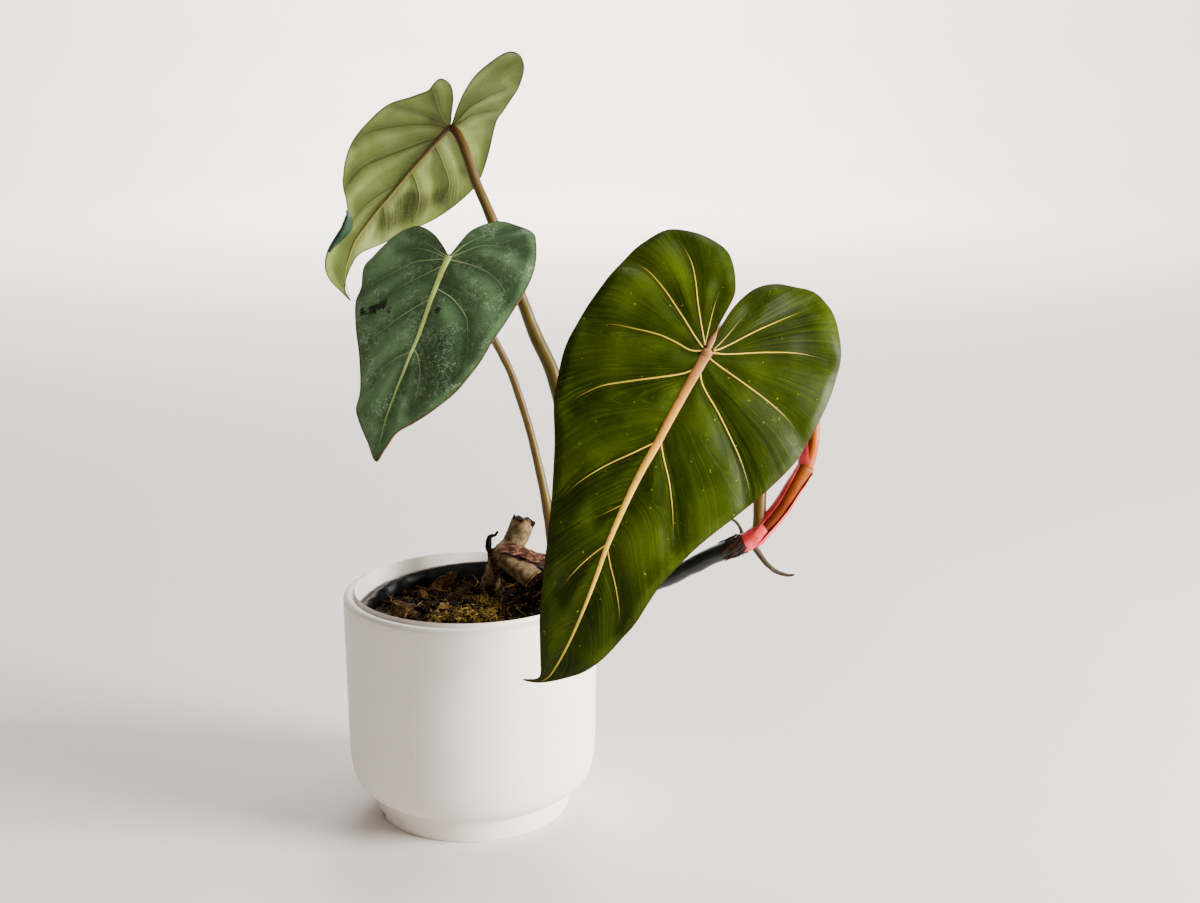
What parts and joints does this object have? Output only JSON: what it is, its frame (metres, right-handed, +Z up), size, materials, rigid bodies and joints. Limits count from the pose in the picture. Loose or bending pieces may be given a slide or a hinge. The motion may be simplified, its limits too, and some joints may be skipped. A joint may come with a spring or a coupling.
{
  "type": "potted philodendron",
  "caption": "Creeping philodendron with heart-shaped leaves and a pink new shoot, rooted in bark mix in a nursery pot inside a plain white ceramic pot.",
  "frame": {"origin": "centre of the ceramic pot's flat underside", "axes": "+Z up; -Y the side that the large leaf hangs over; +X the side that the stem creeps to"},
  "size_m": [0.2642, 0.1909, 0.3873],
  "materials": {
    "white_ceramic": "matte",
    "black_nursery_plastic": "satin",
    "potting_mix": "rough",
    "old_stem_bark": "dry",
    "dry_bract": "dry",
    "green_stem": "satin",
    "leaf_stalk": "satin",
    "glossy_leaf": "glossy",
    "velvet_leaf": "matte",
    "leaf_underside": "matte",
    "pink_bract": "satin",
    "new_stem": "satin",
    "aerial_root": "dry"
  },
  "bodies": {
    "root": {"ceramic_pot": "white_ceramic", "nursery_pot": "black_nursery_plastic", "potting_mix": "potting_mix", "old_stem": "old_stem_bark", "dried_sheath": "dry_bract", "vine_stem": "green_stem", "petiole_top": "leaf_stalk", "petiole_left": "leaf_stalk", "petiole_big": "leaf_stalk", "leaf_top": "leaf_underside", "leaf_left": "velvet_leaf", "leaf_big": "glossy_leaf", "shoot_bract": "pink_bract", "shoot_stem": "new_stem", "upper_bract": "pink_bract", "new_leaf_spear": "new_stem", "aerial_root_long": "aerial_root", "aerial_root_short": "aerial_root"}
  },
  "joints": []
}
